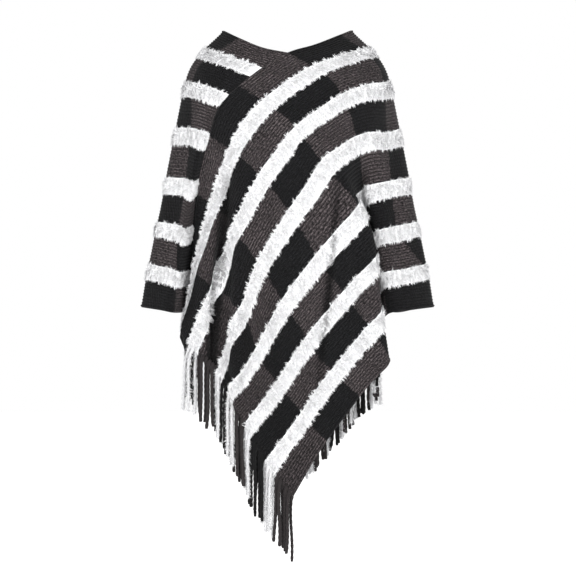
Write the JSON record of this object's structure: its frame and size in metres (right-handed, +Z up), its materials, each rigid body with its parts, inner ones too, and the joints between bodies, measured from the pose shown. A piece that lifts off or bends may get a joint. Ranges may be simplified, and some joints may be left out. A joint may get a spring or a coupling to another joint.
{
  "type": "knitted poncho sweater",
  "caption": "Worn two-panel knitted poncho with checked bands, plush stripes and a yarn fringe, hollow for a wearer.",
  "frame": {"origin": "midway between the shoulder tops at the neck opening, where the wearer's shoulders hold it", "axes": "+Z up, +X to the viewer's right, front facing -Y"},
  "size_m": [0.597, 0.2728, 1.075],
  "materials": {
    "knit": "soft chenille knit in black and dark brown-grey blocks, with white plush stripes",
    "yarn": "twisted yarn in the colour of the band above it, fluffy white below a plush stripe"
  },
  "bodies": {
    "root": {"panel_right": "knit", "panel_left": "knit", "fringe_right": "yarn", "fringe_left": "yarn"}
  },
  "joints": []
}
